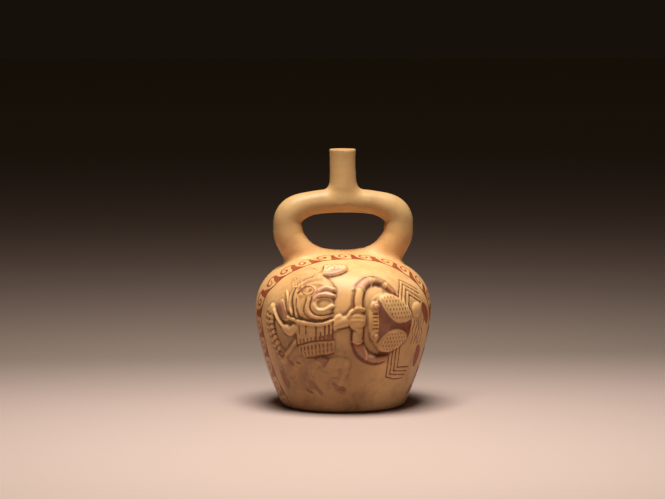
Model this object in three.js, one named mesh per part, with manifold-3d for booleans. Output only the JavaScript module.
// Stirrup spout vessel: a moulded pottery bottle whose hollow handle loop feeds one straight spout.
// It is a single fired piece: a round chamber, the stirrup tube, the spout, and low relief.
// Millimetres, +Z up. The origin is on the ground under the spout, the stirrup stands in the
// X-Z plane, and the main relief, a clawed fight between a masked being and a crab, faces -Y.

import * as THREE from 'three';
import { mergeVertices } from 'three/addons/utils/BufferGeometryUtils.js';
import Module from 'manifold-3d';

const { PI, sin, cos, sqrt, hypot } = Math;
const degrees = PI / 180;

// ---- Driving dimensions ----

// Chamber: a full rounded shoulder over a belly that draws in to a flat foot.
const widestRadius = 93.2;
const widestHeight = 100;
const crownRise = 66;
const shoulderPower = 2.25;
const bellyDepth = 158;
const bellyPower = 1.4;
const heelHeight = 2.2;
const chamberWall = 5;

// Stirrup: a round tube, slimmer along its arch, that leans in to its two feet.
const archRadius = 12.5;
const legRadius = 15.3;
const archBore = 8.5;
const legBore = 11;
const sideReach = 59;
const springHeight = 192;
const archRise = 25.3;
const archPower = 2.6;
const leanStart = 186;
const leanBend = 20;
const lean = 27 * degrees;
const legLength = 32;

// Saddle: clay smoothed from each leg to the crown, which rounds the bottom of the hand hole.
const holeReach = 43.6;
const holeMiddle = 190;
const holeDepth = 27;
const holePower = 1.85;
const saddleRadius = 10;

// Spout: nearly straight, flared into the stirrup below and very slightly at the lip.
const spoutRoot = 210;
const flareFoot = 224;
const flareTop = 244;
const flareSpread = 6;
const flareDepth = 0.68;
const spoutTop = 272;
const lipRadius = 14.5;
const lipRounding = 0.8;
const neckRadius = 13.5;
const spoutBore = 10.8;
const boreFoot = 232;

// ---- Solids ----

const wasm = await Module();
wasm.setup();

function solid(geometry) {
  const bare = geometry.clone();
  bare.deleteAttribute('normal');
  bare.deleteAttribute('uv');
  const merged = mergeVertices(bare, 1e-4);
  return new wasm.Manifold(new wasm.Mesh({
    numProp: 3,
    vertProperties: new Float32Array(merged.attributes.position.array),
    triVerts: new Uint32Array(merged.index.array),
  }));
}

function geometryOf(manifold) {
  const { vertProperties, triVerts } = manifold.getMesh();
  const geometry = new THREE.BufferGeometry();
  geometry.setAttribute('position', new THREE.BufferAttribute(vertProperties, 3));
  geometry.setIndex(new THREE.BufferAttribute(triVerts, 1));
  geometry.computeVertexNormals();
  return geometry;
}

// A profile of [radius, height] pairs, turned about the vertical axis.
function turned(profile, segments) {
  const geometry = new THREE.LatheGeometry(profile.map(([r, z]) => new THREE.Vector2(r, z)), segments);
  return geometry.rotateX(PI / 2);
}

// ---- Chamber ----

function chamberRadius(z) {
  if (z > widestHeight) {
    const rise = Math.min((z - widestHeight) / crownRise, 1);
    return widestRadius * (1 - rise ** shoulderPower) ** (1 / shoulderPower);
  }
  return widestRadius * sqrt(1 - ((widestHeight - z) / bellyDepth) ** bellyPower);
}

// The outward normal of the profile, as [radius, height] parts.
function chamberNormal(z) {
  const step = 0.05;
  const top = Math.min(z + step, widestHeight + crownRise - 1e-3);
  const dr = chamberRadius(top) - chamberRadius(top - 2 * step);
  const length = hypot(dr, 2 * step);
  return [2 * step / length, -dr / length];
}

// Heights spaced evenly by angle, so that the crown's flat top keeps its roundness.
function chamberHeights(from, rows) {
  const heights = [];
  for (let i = 0; i <= rows; i += 1) {
    const angle = (i / rows) * (PI / 2);
    heights.push(widestHeight + crownRise * sin(angle));
  }
  for (let i = 1; i <= rows; i += 1) {
    heights.unshift(widestHeight - (widestHeight - from) * (i / rows));
  }
  return heights;
}

// The rounded heel is an arc tangent to the ground and to the belly at heelHeight.
function heelArc(steps) {
  const [nr, nz] = chamberNormal(heelHeight);
  const radius = heelHeight / (1 + nz);
  const centre = chamberRadius(heelHeight) - nr * radius;
  const end = Math.asin(-nz);
  const arc = [];
  for (let i = 0; i < steps; i += 1) {
    const angle = PI / 2 + (end - PI / 2) * (i / steps);
    arc.push([centre + radius * cos(angle), radius - radius * sin(angle)]);
  }
  return arc;
}

function chamberOuter() {
  const side = chamberHeights(heelHeight, 9).map((z) => [chamberRadius(z), z]);
  side[side.length - 1][0] = 0;
  return solid(turned([[0, 0], ...heelArc(3), ...side], 40));
}

function chamberInner() {
  const rows = chamberHeights(heelHeight + chamberWall, 6).slice(0, -1);
  const side = rows.map((z) => {
    const [nr, nz] = chamberNormal(z);
    return [chamberRadius(z) - nr * chamberWall, z - nz * chamberWall];
  });
  const floor = chamberWall + 1;
  const roof = widestHeight + crownRise - chamberWall;
  return solid(turned([[0, floor], [side[0][0] - 4, floor], ...side, [0, roof]], 24));
}

// ---- Stirrup ----

// Half of the centreline, from beside the top of the arch to inside the chamber: a square-shouldered
// arch, a short upright side, a bend, and a straight leg leaning in.
function halfCentreline() {
  const points = [];
  for (let i = 1; i <= 9; i += 1) {
    const angle = (PI / 2) * (i / 9);
    const x = sideReach * sin(angle) ** (2 / archPower);
    points.push([x, springHeight + archRise * Math.max(cos(angle), 0) ** (2 / archPower)]);
  }
  for (let i = 0; i <= 3; i += 1) {
    const angle = lean * (i / 3);
    points.push([sideReach - leanBend + leanBend * cos(angle), leanStart - leanBend * sin(angle)]);
  }
  const [kneeX, kneeZ] = points[points.length - 1];
  for (let i = 1; i <= 2; i += 1) {
    const along = legLength * (i / 2);
    points.push([kneeX - along * sin(lean), kneeZ - along * cos(lean)]);
  }
  return points;
}

// A tube through points of the X-Z plane. `radiusAt` gives its radius at each centre point.
function tube(points, radiusAt, steps, halfSides) {
  const stations = points.map(([x, z]) => new THREE.Vector3(x, 0, z));
  const path = new THREE.CatmullRomCurve3(stations, false, 'centripetal');
  const section = new THREE.Shape().absarc(0, 0, 1, 0, 2 * PI);
  const geometry = new THREE.ExtrudeGeometry(section, { extrudePath: path, steps, curveSegments: halfSides });
  const centres = path.getSpacedPoints(steps);
  const position = geometry.attributes.position;
  const point = new THREE.Vector3();
  for (let i = 0; i < position.count; i += 1) {
    point.fromBufferAttribute(position, i);
    const centre = centres.reduce((a, b) => (a.distanceTo(point) < b.distanceTo(point) ? a : b));
    point.sub(centre).multiplyScalar(radiusAt(centre)).add(centre);
    position.setXYZ(i, point.x, point.y, point.z);
  }
  return solid(geometry);
}

function stirrupTube(arch, leg, halfSides) {
  const right = halfCentreline();
  const left = right.map(([x, z]) => [-x, z]).reverse();
  const radiusAt = (centre) => arch + (leg - arch) * THREE.MathUtils.smoothstep(Math.abs(centre.x), 28, 52);
  return tube([...left, [0, springHeight + archRise], ...right], radiusAt, 32, halfSides);
}

// The saddle's upper edge is the bottom of the hand hole, and its tube lies just under that edge.
function saddle() {
  const points = [];
  for (let i = -6; i <= 6; i += 1) {
    const angle = (i / 6) * 82 * degrees;
    const x = holeReach * Math.sign(i) * sin(Math.abs(angle)) ** (2 / holePower);
    const z = holeMiddle - holeDepth * cos(angle) ** (2 / holePower);
    const nx = Math.sign(x) * (Math.abs(x) / holeReach) ** (holePower - 1) / holeReach;
    const nz = -(((holeMiddle - z) / holeDepth) ** (holePower - 1)) / holeDepth;
    const length = hypot(nx, nz);
    points.push([x + saddleRadius * nx / length, z + saddleRadius * nz / length]);
  }
  return tube(points, () => saddleRadius, 16, 4);
}

// ---- Spout ----

// The flare runs out along the arch, so it is drawn in from front to back.
function spoutFlare() {
  const profile = [[0, spoutRoot]];
  const steps = 5;
  for (let i = 0; i <= steps; i += 1) {
    const part = i / steps;
    const spread = flareSpread * (1 - part) ** 2.2;
    profile.push([neckRadius - 0.4 + spread, flareFoot + (flareTop - flareFoot) * part]);
  }
  profile.push([0, flareTop]);
  return solid(turned(profile, 24).scale(1, flareDepth, 1));
}

function spoutOuter() {
  const profile = [
    [0, spoutRoot],
    [neckRadius - 2, spoutRoot],
    [neckRadius - 0.5, flareFoot],
    [neckRadius + 0.3, flareTop],
    [neckRadius, spoutTop - 10],
    [lipRadius, spoutTop - 2 * lipRounding],
    [lipRadius, spoutTop - lipRounding],
    [lipRadius - lipRounding, spoutTop],
    [0, spoutTop],
  ];
  return solid(turned(profile, 24)).add(spoutFlare());
}

// The air of the spout opens out a little through the lip.
function spoutInner() {
  const above = spoutTop + 5;
  const throat = [[0, spoutRoot + 4], [archBore, spoutRoot + 4], [spoutBore, boreFoot]];
  const mouth = [[spoutBore, spoutTop - 6], [lipRadius - 2.6, above], [0, above]];
  return solid(turned([...throat, ...mouth], 16));
}

// ---- Relief ----

// Arc length along the profile, counted from the widest level, against height.
const profileRuler = [];
{
  const steps = 600;
  const top = widestHeight + crownRise;
  let length = 0;
  for (let i = 0; i <= steps; i += 1) {
    const z = top * (i / steps);
    const last = profileRuler[profileRuler.length - 1];
    if (last) length += hypot(z - last.z, chamberRadius(z) - chamberRadius(last.z));
    profileRuler.push({ z, length });
  }
  const middle = profileRuler.find((mark) => mark.z >= widestHeight).length;
  for (const mark of profileRuler) mark.length -= middle;
}

function heightAt(v) {
  const next = Math.max(1, profileRuler.findIndex((mark) => mark.length >= v));
  const a = profileRuler[next - 1];
  const b = profileRuler[next];
  return a.z + (b.z - a.z) * (v - a.length) / (b.length - a.length);
}

// A panel is one broad side of the chamber. On it u runs to the right round the widest level,
// v runs up the profile, and h stands out from the clay.
const front = { facing: 0, left: 0, lift: 1 };
const back = { facing: PI, left: 43, lift: 0.6 };

function onPanel(panel, u, v, h) {
  const z = heightAt(v);
  const [nr, nz] = chamberNormal(z);
  const reach = chamberRadius(z) + nr * h;
  const angle = panel.facing + (u - panel.left) / widestRadius;
  return new THREE.Vector3(reach * sin(angle), -reach * cos(angle), z + nz * h);
}

const rooted = 3;

// A smooth oval swelling: centre, half sizes, height, and the tilt of its long axis.
function swelling(panel, [u, v], [halfU, halfV], height, tilt = 0, around = 12, rows = 6) {
  const geometry = new THREE.SphereGeometry(1, around, rows).rotateX(PI / 2);
  const position = geometry.attributes.position;
  for (let i = 0; i < position.count; i += 1) {
    const a = position.getX(i) * halfU;
    const b = position.getY(i) * halfV;
    const up = position.getZ(i) > 0 ? height * panel.lift : rooted;
    const point = onPanel(
      panel,
      u + a * cos(tilt) - b * sin(tilt),
      v + a * sin(tilt) + b * cos(tilt),
      position.getZ(i) * up,
    );
    position.setXYZ(i, point.x, point.y, point.z);
  }
  return solid(geometry);
}

// A rounded cord of clay along a path of [u, v] points, standing `height` proud.
function cord(panel, path, halfWidth, height, steps, halfSides = 3) {
  const proud = height * panel.lift;
  const points = path.map(([u, v]) => onPanel(panel, u, v, proud - halfWidth));
  const section = new THREE.Shape().absarc(0, 0, halfWidth, 0, 2 * PI);
  return solid(new THREE.ExtrudeGeometry(section, {
    extrudePath: new THREE.CatmullRomCurve3(points),
    steps,
    curveSegments: halfSides,
  }));
}

// The crab faces left: an oval shell and a pair of curled claws.
function crab(panel) {
  const upperClaw = [[4, 13], [6, 28], [16, 41], [30, 43], [41, 35], [46, 28]];
  const lowerClaw = [[3, -11], [4, -20], [10, -32], [24, -41], [38, -42]];
  return [
    swelling(panel, [43, -2], [27, 32], 3.2, 0, 18, 8),
    cord(panel, upperClaw, 5.6, 3.4, 12),
    cord(panel, lowerClaw, 5.6, 3.4, 10),
  ];
}

// Only the main relief carries the swollen flaps of the shell, the eyes and the folded legs.
function crabDetails(panel) {
  const masses = [
    swelling(panel, [50, 12], [20, 11], 4.2, -35 * degrees),
    swelling(panel, [46, -20], [19, 9.5], 4.2, 25 * degrees),
    swelling(panel, [24, 14], [4, 4], 4.6, 0, 8, 6),
    swelling(panel, [23, -16], [4, 4], 4.6, 0, 8, 6),
  ];
  for (let i = 0; i < 4; i += 1) {
    const upper = [[53 + 4 * i, 20 - 4 * i], [67 + i, 42.5 - 6 * i], [88 + i, 22 - 3 * i]];
    const lower = [[44 + 5 * i, -32], [45 + 5 * i, -61 + 2.4 * i], [75 + 2 * i, -67 + 3.6 * i]];
    for (const [hip, knee, tip] of [upper, lower]) {
      masses.push(cord(panel, [hip, knee], 1.7, 1.1, 1, 2));
      masses.push(cord(panel, [knee, tip], 1.7, 1.1, 1, 2));
    }
  }
  return masses;
}

// The masked being strides right and grips the crab's claws: headdress, fanged head with a
// long lip, striped tunic, bent arm and legs, and a scaled serpent belt down its back.
function maskedBeing(panel) {
  return [
    swelling(panel, [-24, 60], [19, 8], 2.8, 20 * degrees),
    swelling(panel, [-43, 49], [9, 6], 2.4),
    swelling(panel, [-48, 23], [26, 22], 3.6, 0, 16, 8),
    swelling(panel, [-28, 28], [13, 6], 4, 10 * degrees),
    swelling(panel, [-30, 12], [12, 4.5], 3.6),
    swelling(panel, [-59, 18], [5, 8], 4.2),
    swelling(panel, [-70, 33], [9, 5], 2.6, -25 * degrees),
    swelling(panel, [-41, -19], [25, 21], 2.8, 5 * degrees, 16, 8),
    swelling(panel, [-34, -44], [9, 6], 2.6),
    swelling(panel, [5, 2], [9.5, 10.5], 4.4),
    cord(panel, [[-18, 4], [-16, -3], [-8, 0], [2, 3]], 6, 2.6, 8),
    cord(panel, [[-85, 6], [-78, -8], [-66, -14]], 5.5, 2.2, 6),
    cord(panel, [[-97, 8], [-99, -12], [-95, -30], [-87, -44]], 6.5, 2.2, 10),
    cord(panel, [[-22, -44], [-7, -46], [-10, -62], [-16, -77]], 5, 1.8, 9),
    cord(panel, [[-48, -52], [-52, -66], [-50, -82]], 5.5, 1.6, 7),
  ];
}

// ---- The vessel ----

let outside = chamberOuter()
  .add(stirrupTube(archRadius, legRadius, 7))
  .add(saddle())
  .add(spoutOuter());
const relief = [...crab(front), ...crabDetails(front), ...maskedBeing(front), ...crab(back)];
for (const mass of relief) outside = outside.add(mass);

const hollow = chamberInner()
  .add(stirrupTube(archBore, legBore, 4))
  .add(spoutInner());

const vessel = new THREE.Mesh(
  geometryOf(outside.subtract(hollow)),
  new THREE.MeshStandardMaterial({ color: 0xcfa26c, roughness: 0.5, metalness: 0 }),
);
vessel.name = 'vessel';

const stirrupSpoutVessel = new THREE.Group();
stirrupSpoutVessel.add(vessel);

export default stirrupSpoutVessel;
